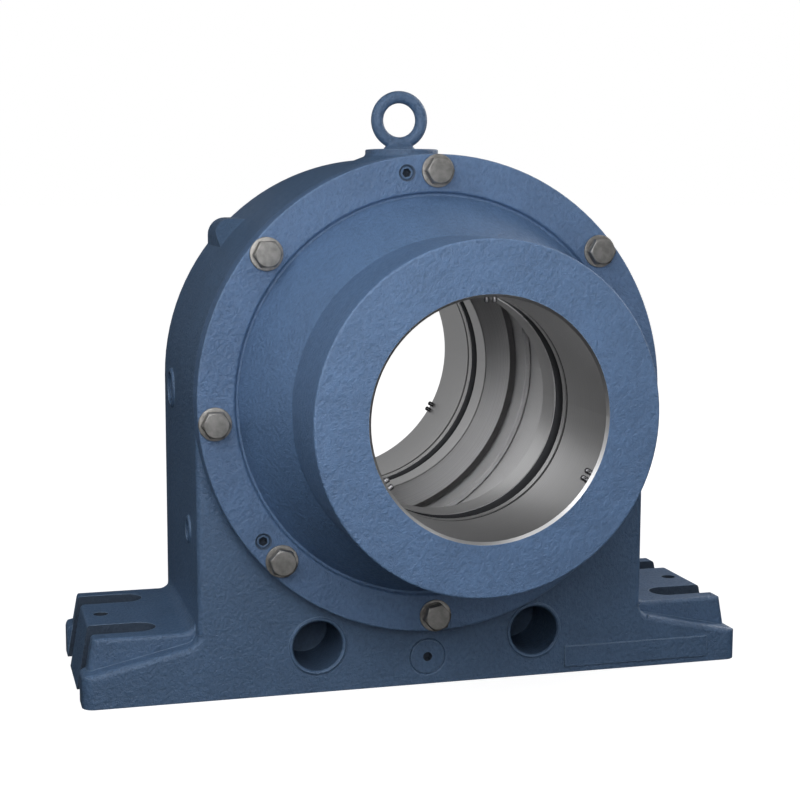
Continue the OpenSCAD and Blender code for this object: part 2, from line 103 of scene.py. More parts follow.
# The lip that closes a cover's bore towards the chamber, out from the body's face
LIP = 36.5 * MM
MOUTH_CHAMFER = 3 * MM
# From a bore's wall to just past the bottom of its deepest seal groove
GROOVE_REACH = 14.5 * MM
# How far a finish runs past the edge that ends it, so that no sliver is left
HAIR = 0.3 * MM

# Angles on a cover from the top, positive to the left of the front view
BOLT_ANGLES = (0, 50, 95, 135, 180, 225, 265, 310)
JACK_ANGLES = (8, 128, 248)
MOUTH_ANGLES = (0, 120, 240)
# How far each hexagon is turned, as the spanner left it
BOLT_TURNS = (0, 3, 1, -13, 12, 22, -8, 2)
JACK_TURNS = (10, 30, 50)
MOUTH_TURNS = (5, 25, 40, 10, 50, 35)

# Kinds of node that are used most
MATH, VECTOR_MATH, MAP_RANGE = "ShaderNodeMath", "ShaderNodeVectorMath", "ShaderNodeMapRange"
MIX, NOISE, BUMP = "ShaderNodeMix", "ShaderNodeTexNoise", "ShaderNodeBump"


def linear(code):
    """Linear RGBA of an sRGB hex colour such as #4d6c8f."""
    values = [int(code[i : i + 2], 16) / 255 for i in (1, 3, 5)]
    return tuple(v / 12.92 if v <= 0.04045 else ((v + 0.055) / 1.055) ** 2.4 for v in values) + (1.0,)


def colour(name, code, description):
    return FloatVectorProperty(
        name=name, description=description, subtype="COLOR", size=4, min=0, max=1, default=linear(code)
    )


def length(name, millimetres, description):
    return FloatProperty(name=name, description=description, unit="LENGTH", min=0, default=millimetres * MM)


class HousingSizes(bpy.types.PropertyGroup):
    """Sizes of the pieces that are made here."""

    front_bolt_circle: length("Front Bolt Circle", 546, "Pitch circle of the front cover's bolts")
    rear_bolt_circle: length("Rear Bolt Circle", 521, "Pitch circle of the rear cover's bolts")
    head_flats: length("Head Across Flats", 30, "Width of a bolt head across its flats")
    head_height: length("Head Height", 12.5, "Height of a bolt head above its washer")
    bolt_thread: length("Bolt Thread", 20, "Thread diameter of the cover bolts")
    bolt_shank: length("Bolt Shank", 34, "Length of a cover bolt below its head")
    washer_diameter: length("Washer Diameter", 40, "Outer diameter of a washer")
    washer_thickness: length("Washer Thickness", 3, "Thickness of a washer")
    jack_thread: length("Jacking Thread", 16, "Thread diameter of the jacking screws")
    jack_length: length("Jacking Screw Length", 29.5, "Length of a jacking screw")
    jack_socket: length("Jacking Socket", 9.6, "Width across flats and depth of a jacking screw's socket")
    jack_sunk: length("Jacking Screw Depth", 1.5, "How far a jacking screw lies below the flange's face")
    mouth_screw: length("Mouth Screw", 6.4, "Thread diameter of the set screws in the mouths")
    mouth_screw_length: length("Mouth Screw Length", 12, "Length of a mouth screw")
    mouth_screw_socket: length("Mouth Screw Socket", 3.2, "Width across flats of a mouth screw's socket")
    mouth_screw_depth: length("Mouth Screw Socket Depth", 2.5, "Depth of a mouth screw's socket")
    mouth_screw_inset: length("Mouth Screw Inset", 9, "How far the mouth screws lie from the hub's end")
    mouth_screw_gap: length("Mouth Screw Gap", 9.4, "Distance between the two screws of a pair")
    mouth_screw_stand: length("Mouth Screw Stand", 6.4, "How far a mouth screw stands out of the bore")
    eye_inner: length("Eye Inner Diameter", 43, "Inner diameter of the lifting eye")
    eye_wire: length("Eye Thickness", 16, "Thickness of the lifting eye")
    eye_collar: length("Eye Collar Diameter", 40, "Diameter of the collar under the lifting eye")
    edge_soft: length("Cast Edge", 1.6, "Radius to which enamel rounds a cast edge")


class HousingColours(bpy.types.PropertyGroup):
    """Colours of the finishes."""

    body_enamel: colour("Body Enamel", "#4c6686", "Blue enamel on the body, its plugs and the eye")
    # Painted light: the covers have the body's enamel, painted lighter because more light falls on them at
    # the front
    cover_enamel_painted_lighter: colour("Cover Enamel, Painted Lighter", "#547095", "The blue enamel, painted lighter on the covers where more light falls")
    # Painted highlight: a paler enamel tone laid along every cast edge
    painted_edge_highlight: colour("Painted Edge Highlight", "#7991ad", "Painted highlight along each cast edge")
    bare_iron: colour("Bare Iron", "#c0c0c1", "Machined cast iron in the bores")
    # Painted shade for the bottoms of the seal grooves
    groove_shade_iron: colour("Painted Groove Shade", "#4a4b4e", "Bottoms of the seal grooves")
    bolt_steel: colour("Bolt Steel", "#8f8e8c", "Forged bolt heads")
    washer_steel: colour("Washer Steel", "#999794", "Stamped washers")
    rubbed_steel: colour("Rubbed Steel", "#b3afa9", "Edges of bolt heads and washers, rubbed brighter")
    rubber: colour("Rubber", "#161617", "Moulded rubber rings")
    screw_steel: colour("Screw Steel", "#8b8b8e", "Small set screws")
    # Painted shade: a dark tone mixed into holes, slots, sockets and countersinks, where light hardly reaches
    recess: colour("Painted Recess Shade", "#2c3745", "Painted shade inside holes, slots, sockets and countersinks")
    floor: colour("Floor", "#f7f7f7", "Pale studio floor")


def sizes():
    return bpy.context.scene.housing_sizes


def colours():
    return bpy.context.scene.housing_colours


def bolt_circle(side):
    """Pitch circle of one cover, on which its jacking screws lie too."""
    return sizes().front_bolt_circle if side == FRONT else sizes().rear_bolt_circle


# Nodes


def add(tree, kind, inputs=(), **settings):
    """Adds a node, sets its options, and sets or links its inputs.

    Inputs are given by name, or in order among those that the options leave in use. A node given as
    an input stands for the first output that its own options leave in use.
    """
    node = tree.nodes.new(kind)
    for name, value in settings.items():
        setattr(node, name, value)
    if isinstance(inputs, dict):
        pairs = [(node.inputs[name], value) for name, value in inputs.items()]
    else:
        pairs = list(zip([socket for socket in node.inputs if socket.enabled], inputs))
    for socket, value in pairs:
        if isinstance(value, bpy.types.Node):
            value = next(output for output in value.outputs if output.enabled)
        if isinstance(value, bpy.types.NodeSocket):
            tree.links.new(value, socket)
        else:
            socket.default_value = value
    return node


def new_material(name):
    """An empty material, its node tree, and the shaded point in the object's own coordinates."""
    material = bpy.data.materials.new(name)
    material.use_nodes = True
    tree = material.node_tree
    tree.nodes.clear()
    return material, tree, add(tree, "ShaderNodeTexCoord").outputs["Object"]


def show(tree, inputs):
    """Ends a material's tree with a Principled shader that has these inputs."""
    shader = add(tree, "ShaderNodeBsdfPrincipled", inputs)
    add(tree, "ShaderNodeOutputMaterial", (shader,))


def shaded(tone, factor):
    """A colour made darker or lighter by a factor."""
    return [c * factor for c in tone[:3]] + [1]


def rounded(tree, radius, samples):
    """Normals that round the edges to a radius, and how squarely they face the way the surface does."""
    soft = add(tree, "ShaderNodeBevel", (radius,), samples=samples)
    flat = add(tree, "ShaderNodeNewGeometry").outputs["Normal"]
    return soft, add(tree, VECTOR_MATH, (soft, flat), operation="DOT_PRODUCT")


# Masks: values from 0 to 1 that say where a finish goes

# Where a point is: its distance from the shaft's axis, and how far along it from the body's middle
Place = namedtuple("Place", "from_shaft along")

# Factors that leave one axis out of a point
WITHOUT_X, WITHOUT_Y, WITHOUT_Z = (0, 1, 1), (1, 0, 1), (1, 1, 0)


def distance(tree, point, factors, centre):
    """Distance from a line along the axis that factors leave out. centre is 0 on that axis."""
    flat = add(tree, VECTOR_MATH, (point, factors), operation="MULTIPLY")
    return add(tree, VECTOR_MATH, (flat, centre), operation="DISTANCE")


def place_of(tree, point, side):
    """The place of a point, measured towards one side of the body."""
    across = add(tree, "ShaderNodeSeparateXYZ", (point,)).outputs[Y]
    along = add(tree, MATH, (across, float(side)), operation="MULTIPLY")
    return Place(distance(tree, point, WITHOUT_Y, (0, 0, AXIS_Z)), along)


def zone(tree, *limits, strength=1.0):
    """A mask that has its strength where every value lies between its two limits."""
    mask = strength
    for value, low, high in limits:
        inside = add(tree, MATH, (value, (low + high) / 2, (high - low) / 2), operation="COMPARE")
        mask = add(tree, MATH, (inside, mask), operation="MULTIPLY")
    return mask


def any_of(tree, *masks):
    """The strongest of the masks."""
    return reduce(lambda one, other: add(tree, MATH, (one, other), operation="MAXIMUM"), masks)


def cover_bare(side):
    """Bare metal of a cover: its bore, the mouth chamfer and all that faces the chamber and the body."""
    bore, inside = BORE_R[side], HUB_END[side] - MOUTH_CHAMFER - HAIR
    # The hub's end is painted right up to the chamfer, so this margin is thinner than the others
    mouth = bore + MOUTH_CHAMFER + 0.05 * MM

    def mask(tree, at):
        return any_of(
            tree,
            zone(tree, (at.from_shaft, 0, bore + GROOVE_REACH), (at.along, 0, inside)),
            zone(tree, (at.from_shaft, 0, mouth)),
            zone(tree, (at.from_shaft, 0, SEAT_R + HAIR), (at.along, 0, BODY_FACE + LIP + HAIR)),
            zone(tree, (at.along, 0, BODY_FACE + HAIR)),
        )

    return mask


def cover_grooves(side):
    """Seal grooves of a cover's bore, below the rounded rims of their walls, where shade is painted."""
    bore, rim = BORE_R[side], 1.2 * MM
    start, end = BODY_FACE + LIP + 3.5 * MM, HUB_END[side] - 2 * MOUTH_CHAMFER

    def mask(tree, at):
        return zone(tree, (at.from_shaft, bore + rim, bore + GROOVE_REACH), (at.along, start, end))

    return mask


def jacking_recesses(side):
    """Painted shade in the countersinks round the jacking screws of a cover."""
    reach = sizes().jack_thread / 2 + 2.3 * MM
    radius = bolt_circle(side) / 2

    def mask(tree, point):
        rings = []
        for angle in map(math.radians, JACK_ANGLES):
            centre = (-radius * math.sin(angle), 0, AXIS_Z + radius * math.cos(angle))
            away = distance(tree, point, WITHOUT_Y, centre)
            rings.append(zone(tree, (away, 0, reach), strength=0.75))
        return any_of(tree, *rings)

    return mask


def seat_bare(tree, at):
    """Bare metal of the body: the bearing seat and the chamfer at each of its mouths."""
    return zone(tree, (at.from_shaft, 0, SEAT_R + SEAT_CHAMFER))


def body_recesses(tree, point):
    """Painted shade inside the core holes, the slots and the dowel holes."""
    # The four feet and both faces are alike, so one corner of the body stands for all
    corner = add(tree, VECTOR_MATH, (point,), operation="ABSOLUTE")
    x, y, z = add(tree, "ShaderNodeSeparateXYZ", (corner,)).outputs
    below_top = (z, -HAIR, FOOT_TOP - 2 * HAIR)
    from_core = distance(tree, corner, WITHOUT_Y, (CORE_X, 0, CORE_Z))
    from_dowel = distance(tree, corner, WITHOUT_Z, (DOWEL_X, 0, 0))
    return any_of(
        tree,
        zone(tree, (from_core, 0, CORE_R + HAIR), (y, 0, BODY_FACE - 1.5 * MM), strength=0.35),
        zone(
            tree,
            (x, SLOT_X - SLOT_R - HAIR, BASE_END + HAIR),
            (y, SLOT_Y - SLOT_R - HAIR, SLOT_Y + SLOT_R + HAIR),
            below_top,
            strength=0.8,
        ),
        zone(tree, (from_dowel, 0, DOWEL_R + HAIR), below_top),
    )


def socket_recesses(tree, point):
    """Painted shade inside the hexagon sockets of plugs and jacking screws."""
    masks = [add(tree, "ShaderNodeAttribute", attribute_name="socket").outputs["Fac"]]
    # Each plug's socket with its chamfer, and the axes across the plug. The right side's are like the left's
    for node, factors, reach in (
        ("front_base_plug", WITHOUT_Y, 5.9 * MM),
        ("left_upper_plug", WITHOUT_X, 10 * MM),
        ("left_lower_plug", WITHOUT_X, 7.1 * MM),
    ):
        low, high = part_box(node)
        centre = [factor * (a + b) / 2 for factor, a, b in zip(factors, low, high)]
        masks.append(zone(tree, (distance(tree, point, factors, centre), 0, reach)))
    return any_of(tree, *masks)


# Materials


def turning_marks(tree, at):
    """Fine rings that a lathe tool leaves, the same on a wall and on a face."""
    # Feed marks are about 0.3 mm apart: drawn at 1.2 mm so that they show
    run = add(tree, MATH, (at.from_shaft, at.along), operation="ADD")
    position = add(tree, MATH, (run, 1 / (1.2 * MM)), operation="MULTIPLY")
    return add(tree, NOISE, (position, 1.0, 3.0), noise_dimensions="1D")


def enamel_on_casting(name, paint, side=REAR, bare=None, grooves=None, recesses=None):
    """Sprayed satin enamel over a sand-cast skin, with turned metal where the mask bare says so.

    Enamel follows the pebbled skin that moulding sand leaves, fills its pits and rounds its edges. So
    the eye gets a soft broad shine, broken up by small bumps, and a painted highlight, a paler line, along
    each edge. The turned metal beside it is brighter, and the rings that the tool left draw out its shine.
    """
    tones = colours()
    material, tree, point = new_material(name)
    soft, facing = rounded(tree, sizes().edge_soft, 6)
    edge = add(tree, MAP_RANGE, (facing, 0.995, 0.90, 0.0, 0.75))
    # Sand grains of 0.2 to 0.5 mm leave bumps 2 to 5 mm wide once they are painted over, a little
    # drawn out downwards where the wet paint sagged
    sagged = add(tree, VECTOR_MATH, (point, (1, 1, 0.85)), operation="MULTIPLY")
    pebbles = add(tree, NOISE, (sagged, 1 / (4.6 * MM), 3.0, 0.6))
    # The dust in the paint is finer than a pixel: drawn at 1.3 mm
    grit = add(tree, NOISE, (point, 1 / (1.3 * MM), 2.0))
    relief = add(tree, MIX, (0.28, pebbles, grit), data_type="FLOAT")
    # Passes of the spray gun are about 40 mm wide and not quite even, and pits hold a darker tone
    passes = add(tree, NOISE, (point, 1 / (40 * MM), 2.0))
    mottled = add(tree, MAP_RANGE, (passes, 0.3, 0.7, 0.93, 1.06))
    pitted = add(tree, MAP_RANGE, (pebbles, 0.30, 0.62, 0.86, 1.05))
    tint = add(tree, VECTOR_MATH, (paint[:3], mottled), operation="SCALE")
    tint = add(tree, VECTOR_MATH, (tint, pitted), operation="SCALE")
    # Painted highlight along each edge
    tone = add(tree, MIX, (edge, tint, tones.painted_edge_highlight), data_type="RGBA")
    rough = add(tree, MAP_RANGE, (pebbles, 0.3, 0.7, 0.50, 0.40))
    metal = 0.0
    normal = add(tree, BUMP, {"Strength": 1.0, "Distance": 2.6 * MM, "Height": relief, "Normal": soft})
    if bare:
        at = place_of(tree, point, side)
        metal = bare(tree, at)
        marks = turning_marks(tree, at)
        shine = add(tree, MAP_RANGE, (marks, 0.35, 0.65))
        iron = add(tree, MIX, (shine, shaded(tones.bare_iron, 0.86), tones.bare_iron), data_type="RGBA")
        if grooves:
            # Painted shade: the bottoms of the seal grooves are darkened
            iron = add(tree, MIX, (grooves(tree, at), iron, tones.groove_shade_iron), data_type="RGBA")
        cut = add(tree, MAP_RANGE, (marks, 0.3, 0.7, 0.42, 0.32))
        lathe = add(tree, BUMP, {"Strength": 0.25, "Distance": 0.08 * MM, "Height": marks})
        tone = add(tree, MIX, (metal, tone, iron), data_type="RGBA")
        rough = add(tree, MIX, (metal, rough, cut), data_type="FLOAT")
        normal = add(tree, MIX, (metal, normal, lathe), data_type="VECTOR")
        normal = add(tree, VECTOR_MATH, (normal,), operation="NORMALIZE")
    if recesses:
        # Painted shade inside holes, slots, sockets and countersinks
        painted_shade = recesses(tree, point)
        tone = add(tree, MIX, (painted_shade, tone, tones.recess), data_type="RGBA")
        rough = add(tree, MIX, (painted_shade, rough, 0.8), data_type="FLOAT")
    show(tree, {"Base Color": tone, "Roughness": rough, "Metallic": metal, "Normal": normal})
    return material


def worked_steel(name, tone, roughness, grain, metallic=1.0, rubbed=None):
    """Bare steel with the skin of its forging, stamping or blackening.

    Scale and tool marks as wide as grain make the shine uneven, and darker patches six times as wide
    break up its tone. Edges that spanners and hands rub get the colour rubbed.
    """
    material, tree, point = new_material(name)
    patches = add(tree, MAP_RANGE, (add(tree, NOISE, (point, 1 / (6 * grain), 3.0)), 0.35, 0.65))
    base = add(tree, MIX, (patches, shaded(tone, 0.72), tone), data_type="RGBA")
    if rubbed:
        _, facing = rounded(tree, 0.5 * MM, 4)
        edge = add(tree, MAP_RANGE, (facing, 0.99, 0.92, 0.0, 0.8))
        base = add(tree, MIX, (edge, base, rubbed), data_type="RGBA")
    fine = add(tree, NOISE, (point, 1 / grain, 3.0))
    rough = add(tree, MAP_RANGE, (fine, 0.3, 0.7, roughness + 0.08, roughness - 0.08))
    normal = add(tree, BUMP, {"Strength": 0.3, "Distance": 0.1 * MM, "Height": fine})
    show(tree, {"Base Color": base, "Roughness": rough, "Metallic": metallic, "Normal": normal})
    return material


def moulded_rubber(name):
    """Moulded nitrile rubber: nearly black, with a dull bloom that scatters light at a low angle."""
    material, tree, point = new_material(name)
    tone = colours().rubber
    # The bloom lies in patches a few millimetres wide
    bloom = add(tree, NOISE, (point, 1 / (3 * MM), 3.0))
    base = add(tree, MIX, (bloom, tone, shaded(tone, 1.9)), data_type="RGBA")
    rough = add(tree, MAP_RANGE, (bloom, 0.3, 0.7, 0.62, 0.48))
    normal = add(tree, BUMP, {"Strength": 0.2, "Distance": 0.05 * MM, "Height": bloom})
    show(tree, {"Base Color": base, "Roughness": rough, "Normal": normal, "Sheen Weight": 0.15, "IOR": 1.52})
    return material


def paper_sweep(name):
    """Matt paper that glows white by itself, with a painted shadow: it glows less near the housing."""
    material, tree, point = new_material(name)
    # Paper fibres are too fine to show: drawn 3 mm wide
    fibre = add(tree, MAP_RANGE, (add(tree, NOISE, (point, 1 / (3 * MM))), 0.3, 0.7, 0.985, 1.0))
    tone = add(tree, VECTOR_MATH, (shaded(colours().floor, 0.35)[:3], fibre), operation="SCALE")
    away = add(tree, VECTOR_MATH, (point,), operation="LENGTH")
    # Painted shadow: the glow drops towards the housing
    glow = add(tree, MAP_RANGE, (away, 0.6, 3.0, 0.88, 1.0))
    white = (1, 1, 1, 1)
    show(tree, {"Base Color": tone, "Roughness": 0.9, "Emission Color": white, "Emission Strength": glow})
    return material


def finish(name, make, *values, **settings):
    """The material of that name, made once."""
    return bpy.data.materials.get(name) or make(name, *values, **settings)


def screw_enamel():
    """Finish of plugs and jacking screws, sprayed together with the body."""
    paint = colours().body_enamel
    return finish("Satin enamel on socket screws", enamel_on_casting, paint, recesses=socket_recesses)


def coat(node, material):
    """Gives a CAD node its material."""
    mesh = NODES[node].data
    mesh.materials.clear()
    mesh.materials.append(material)


# Meshes


def new_object(name, mesh):
    item = bpy.data.objects.new(name, mesh)
    bpy.context.scene.collection.objects.link(item)
    return item


def baked(item, name):
    """A plain mesh object of what item's modifiers make of it. item is removed."""
    bpy.context.view_layer.update()
    graph = bpy.context.evaluated_depsgraph_get()
    mesh = bpy.data.meshes.new_from_object(item.evaluated_get(graph), depsgraph=graph)
    mesh.name = name
    bpy.data.objects.remove(item)
    return new_object(name, mesh)


def smooth(item, angle=32):
    """Shades item smooth, apart from edges sharper than angle degrees."""
    item.data.polygons.foreach_set("use_smooth", [True] * len(item.data.polygons))
    item.data.set_sharp_from_angle(angle=math.radians(angle))


def softened(item, width, segments=3, angle=24):
    """Rounds the edges of item that turn by more than angle degrees."""
    bevel = item.modifiers.new("Rounded edges", "BEVEL")
    bevel.width = width
    bevel.segments = segments
    bevel.limit_method = "ANGLE"
    bevel.angle_limit = math.radians(angle)
    item = baked(item, item.name)
    smooth(item)
    return item


def turned(profile, count):
    """Loops of points round the Z axis, one for each radius and height of a profile.

    A radius may be a pair, along X and along Y. A radius or a height may be a function of the angle.
    """
    loops = []
    for radius, height in profile:
        loop = []
        for i in range(count):
            angle = 2 * math.pi * i / count
            reach = radius(angle) if callable(radius) else radius
            a, b = reach if isinstance(reach, tuple) else (reach, reach)
            level = height(angle) if callable(height) else height
            loop.append((a * math.cos(angle), b * math.sin(angle), level))
        loops.append(loop)
    return loops


def skinned(name, *shells):
    """One object with a skin over each shell's loops of points.

    A shell is its loops, and whether its two ends are closed by a face. Where they aren't, its last
    loop is joined to its first.
    """
    mesh = bmesh.new()
    for points, capped in shells:
        loops = [[mesh.verts.new(point) for point in loop] for loop in points]
        following = loops[1:] if capped else loops[1:] + loops[:1]
        for low, high in zip(loops, following):
            for i, corner in enumerate(low):
                j = (i + 1) % len(low)
                mesh.faces.new((corner, low[j], high[j], high[i]))
        if capped:
            mesh.faces.new(list(reversed(loops[0])))
            mesh.faces.new(loops[-1])
    bmesh.ops.recalc_face_normals(mesh, faces=mesh.faces)
    data = bpy.data.meshes.new(name)
    mesh.to_mesh(data)
    mesh.free()
    return new_object(name, data)


def hexagon(flats, factor=1.0):
    """Radius by angle of a hexagon of that width across flats, times a factor, with a corner at 0.

    A loop of it takes a count of points that 6 divides, so that every corner has one.
    """

    def radius(angle):
        turn = (angle % (math.pi / 3)) - math.pi / 6
        return factor * flats / 2 / math.cos(turn)

    return radius


def bolt_head():
    """Forged hexagon head with a chamfered top, a washer face and a shank, standing on z = 0."""
    size = sizes()
    flats, height, shank = size.head_flats, size.head_height, size.bolt_thread / 2
    corner = hexagon(flats)
    # The flat top and the washer face are a little narrower than the flats
    flat_top = 0.475 * flats
    washer_face = 0.6 * MM
    # Where the washer face ends, the corners are broken by this much
    broken = 0.3 * MM

    def chamfered(angle):
        return height - (corner(angle) - flat_top) / math.tan(math.radians(60))

    profile = (
        (shank, -size.bolt_shank),
        (shank, 0),
        (flat_top, 0),
        (flat_top, washer_face),
        (lambda angle: corner(angle) - broken, washer_face),
        (corner, washer_face + broken),
        (corner, chamfered),
        (flat_top, height),
    )
    return softened(skinned("bolt_head", (turned(profile, 72), True)), 0.7 * MM, angle=20)


def washer():
    """Stamped washer with rolled edges, lying on z = 0."""
    size = sizes()
    outer, inner, top = size.washer_diameter / 2, size.bolt_thread / 2 + 0.5 * MM, size.washer_thickness
    profile = ((inner, 0), (outer, 0), (outer, top), (inner, top))
    return softened(skinned("washer", (turned(profile, 64), False)), 0.6 * MM)


def socket_screw(name, thread, body, flats, depth):
    """Headless screw with a hexagon socket, its outer end at z = 0."""
    radius, chamfer, break_in = thread / 2, 1 * MM, 0.5 * MM
    socket = hexagon(flats)
    profile = (
        (radius - chamfer, -body),
        (radius, -body + chamfer),
        (radius, -chamfer),
        (radius - chamfer, 0),
        (hexagon(flats, 1.1), 0),
        (socket, -break_in),
        (socket, -depth),
        # The drill's cone at the bottom of the socket
        (hexagon(flats, 0.2), -depth - 1.2 * MM),
    )
    item = softened(skinned(name, (turned(profile, 60), True)), 0.25 * MM, segments=2)
    # Marks the socket's inside for its painted shade: nearer the axis than its corners, and below its rim
    corner, rim = 0.62 * flats, -0.4 * MM
    marks = [float(v.co.xy.length < corner and rim > v.co.z > -body / 2) for v in item.data.vertices]
    item.data.attributes.new("socket", "FLOAT", "POINT").data.foreach_set("value", marks)
    return item


def lifting_eye():
    """Forged eye: a ring that swells into its collar, and a shank."""
    size = sizes()
    wire = size.eye_wire / 2
    middle = size.eye_inner / 2 + wire
    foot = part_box("eyebolt")[1].z - 2 * (middle + wire)
    around, across = 96, 32
    ring = []
    for i in range(around):
        a = 2 * math.pi * i / around
        loop = []
        for j in range(across):
            b = 2 * math.pi * j / across
            r = middle + wire * math.cos(b)
            loop.append((r * math.cos(a), wire * math.sin(b), foot + middle + wire + r * math.sin(a)))
        ring.append(loop)
    # Half widths along X and Y at heights above the boss: shank, collar, neck, and up into the ring
    r, shank = size.eye_collar / 2, 10 * MM
    neck = (
        (shank, shank, -30 * MM),
        (shank, shank, 0),
        (r - 0.8 * MM, r - 0.8 * MM, 0),
        (r, r, 0.8 * MM),
        (r, r, 2.2 * MM),
        (r - 3 * MM, r - 4 * MM, 4 * MM),
        (r - 2.6 * MM, r - 9 * MM, 6.5 * MM),
        (r + 0.5 * MM, r - 12 * MM, 10 * MM),
        (r + 2 * MM, r - 14 * MM, 13 * MM),
    )
    neck = turned([((a, b), foot + height) for a, b, height in neck], 64)
    item = skinned("lifting_eye", (ring, False), (neck, True))
    # The hammered blend between ring and collar
    remesh = item.modifiers.new("Forging", "REMESH")
    remesh.mode = "VOXEL"
    remesh.voxel_size = 0.9 * MM
    remesh.use_smooth_shade = True
    blurred = item.modifiers.new("Blend", "SMOOTH")
    blurred.factor = 0.5
    blurred.iterations = 8
    item = baked(item, "lifting_eye")
    smooth(item, 60)
    return item


# Fasteners on a circle


def fastener_tree():
    """Geometry Nodes tree that stands a fastener on each place of a circle round the shaft."""
    name = "Fasteners on a circle"
    tree = bpy.data.node_groups.get(name)
    if tree:
        return tree
    tree = bpy.data.node_groups.new(name, "GeometryNodeTree")
    for label, kind in (
        ("Places", "NodeSocketGeometry"),
        ("Fastener", "NodeSocketObject"),
        ("Circle Radius", "NodeSocketFloat"),
        ("Shaft Height", "NodeSocketFloat"),
        ("Seat", "NodeSocketFloat"),
        ("Side", "NodeSocketFloat"),
        ("Points Inward", "NodeSocketBool"),
        ("Finish", "NodeSocketMaterial"),
    ):
        tree.interface.new_socket(label, in_out="INPUT", socket_type=kind)
    tree.interface.new_socket("Fasteners", in_out="OUTPUT", socket_type="NodeSocketGeometry")
    given = add(tree, "NodeGroupInput").outputs
    angle = add(tree, "GeometryNodeInputNamedAttribute", ("angle",), data_type="FLOAT")
    turn = add(tree, "GeometryNodeInputNamedAttribute", ("turn",), data_type="FLOAT")
    # Places on the circle, at the seat of this side
    sine = add(tree, MATH, (angle,), operation="SINE")
    cosine = add(tree, MATH, (angle,), operation="COSINE")
    left = add(tree, MATH, (given["Circle Radius"], -1.0), operation="MULTIPLY")
    x = add(tree, MATH, (left, sine), operation="MULTIPLY")
    y = add(tree, MATH, (given["Seat"], given["Side"]), operation="MULTIPLY")
    z = add(tree, MATH, (given["Circle Radius"], cosine, given["Shaft Height"]), operation="MULTIPLY_ADD")
    place = add(tree, "ShaderNodeCombineXYZ", (x, y, z))
    points = add(tree, "GeometryNodeSetPosition", {"Geometry": given["Places"], "Position": place})
    # Outward along the shaft, or inward to the shaft, and then turned about the fastener's own axis
    tilt = add(tree, MATH, (given["Side"], -math.pi / 2), operation="MULTIPLY")
    outward = add(tree, "ShaderNodeCombineXYZ", {"X": tilt})
    inward = add(tree, "ShaderNodeCombineXYZ", {"Y": add(tree, MATH, (math.pi, angle), operation="SUBTRACT")})
    way = add(tree, "GeometryNodeSwitch", (given["Points Inward"], outward, inward), input_type="VECTOR")
    stand = add(tree, "FunctionNodeEulerToRotation", (way,))
    spin = add(tree, "FunctionNodeAxisAngleToRotation", ((0, 0, 1), turn))
    rotation = add(tree, "FunctionNodeRotateRotation", (stand, spin), rotation_space="LOCAL")
    shape = add(tree, "GeometryNodeObjectInfo", (given["Fastener"],)).outputs["Geometry"]
    instances = add(
        tree, "GeometryNodeInstanceOnPoints", {"Points": points, "Instance": shape, "Rotation": rotation}
    )
    real = add(tree, "GeometryNodeRealizeInstances", (instances,))
    done = add(tree, "GeometryNodeSetMaterial", {"Geometry": real, "Material": given["Finish"]})
    add(tree, "NodeGroupOutput", (done,))
    return tree


def fasteners(name, item, side, circle, seat, angles, turns, material, inward=False):
    """Stands item on a circle of one cover, and returns the whole group as one mesh."""
    mesh = bpy.data.meshes.new(name + "_places")
    mesh.from_pydata([(0, 0, 0)] * len(angles), [], [])
    for label, values in (("angle", angles), ("turn", turns)):
        attribute = mesh.attributes.new(label, "FLOAT", "POINT")
        attribute.data.foreach_set("value", [math.radians(v) for v in values])
    carrier = new_object(name + "_places", mesh)
    tree = fastener_tree()
    modifier = carrier.modifiers.new("Fasteners", "NODES")
    modifier.node_group = tree
    given = {
        "Fastener": item,
        "Circle Radius": circle / 2,
        "Shaft Height": AXIS_Z,
        "Seat": seat,
        "Side": float(side),
        "Points Inward": inward,
        "Finish": material,
    }
    for socket in tree.interface.items_tree:
        if socket.item_type == "SOCKET" and socket.in_out == "INPUT" and socket.name in given:
            modifier[socket.identifier] = given[socket.name]
    group = baked(carrier, name)
    smooth(group)
    return group


def keep(item, slot, *nodes):
    """Attaches a finished piece to the housing and hides the nodes it stands for. Its slot is not used."""
    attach(item, "root")
    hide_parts(*nodes)


# Studio

# Softboxes stand round an aim, by azimuth from the front towards the right and by elevation. Angles
# are in degrees, distance and width in metres, power in watts
Softbox = namedtuple("Softbox", "azimuth elevation aim distance width power")
FAR, NEAR = (0, -0.1, 0.35), (0, -0.3, 0.4)
LIGHTS = (
    # Behind the right shoulder: a bright rim along the body's top and right
    Softbox(120, 20, FAR, 3.2, 1.6, 34),
    Softbox(120, 50, FAR, 3.2, 1.6, 12),
    # Overhead
    Softbox(30, 50, FAR, 3.2, 1.6, 4),
    Softbox(-20, 74, FAR, 3.2, 1.6, 14),
    # The body's left side
    Softbox(-75, 12, FAR, 3.2, 1.6, 8),
    Softbox(-120, 20, FAR, 3.2, 1.6, 6),
    # Close to the hub, for its face and the flange
    Softbox(-20, 18, NEAR, 1.15, 0.8, 9),
    Softbox(60, 25, NEAR, 1.5, 0.9, 4.6),
    Softbox(-55, 38, NEAR, 1.5, 0.9, 7),
    # As if off the floor, which casts no shadow: for the lower front of the base
    Softbox(17, -12, (0, -0.2, 0.15), 2.7, 0.55, 4.6),
    # Two small discs behind the rear mouth, for the bores
    Softbox(-170, 15, (0.05, -0.3, 0.3), 0.85, 0.3, 0.115),
    Softbox(180, 5, (0.02, 0, 0.34), 0.43, 0.34, 0.05),
)
# A softbox under this width is a round disc, with a hood that narrows its spread
DISC_WIDTH = 0.5
OPEN_SPREAD, HOOD_SPREAD = 180, 120

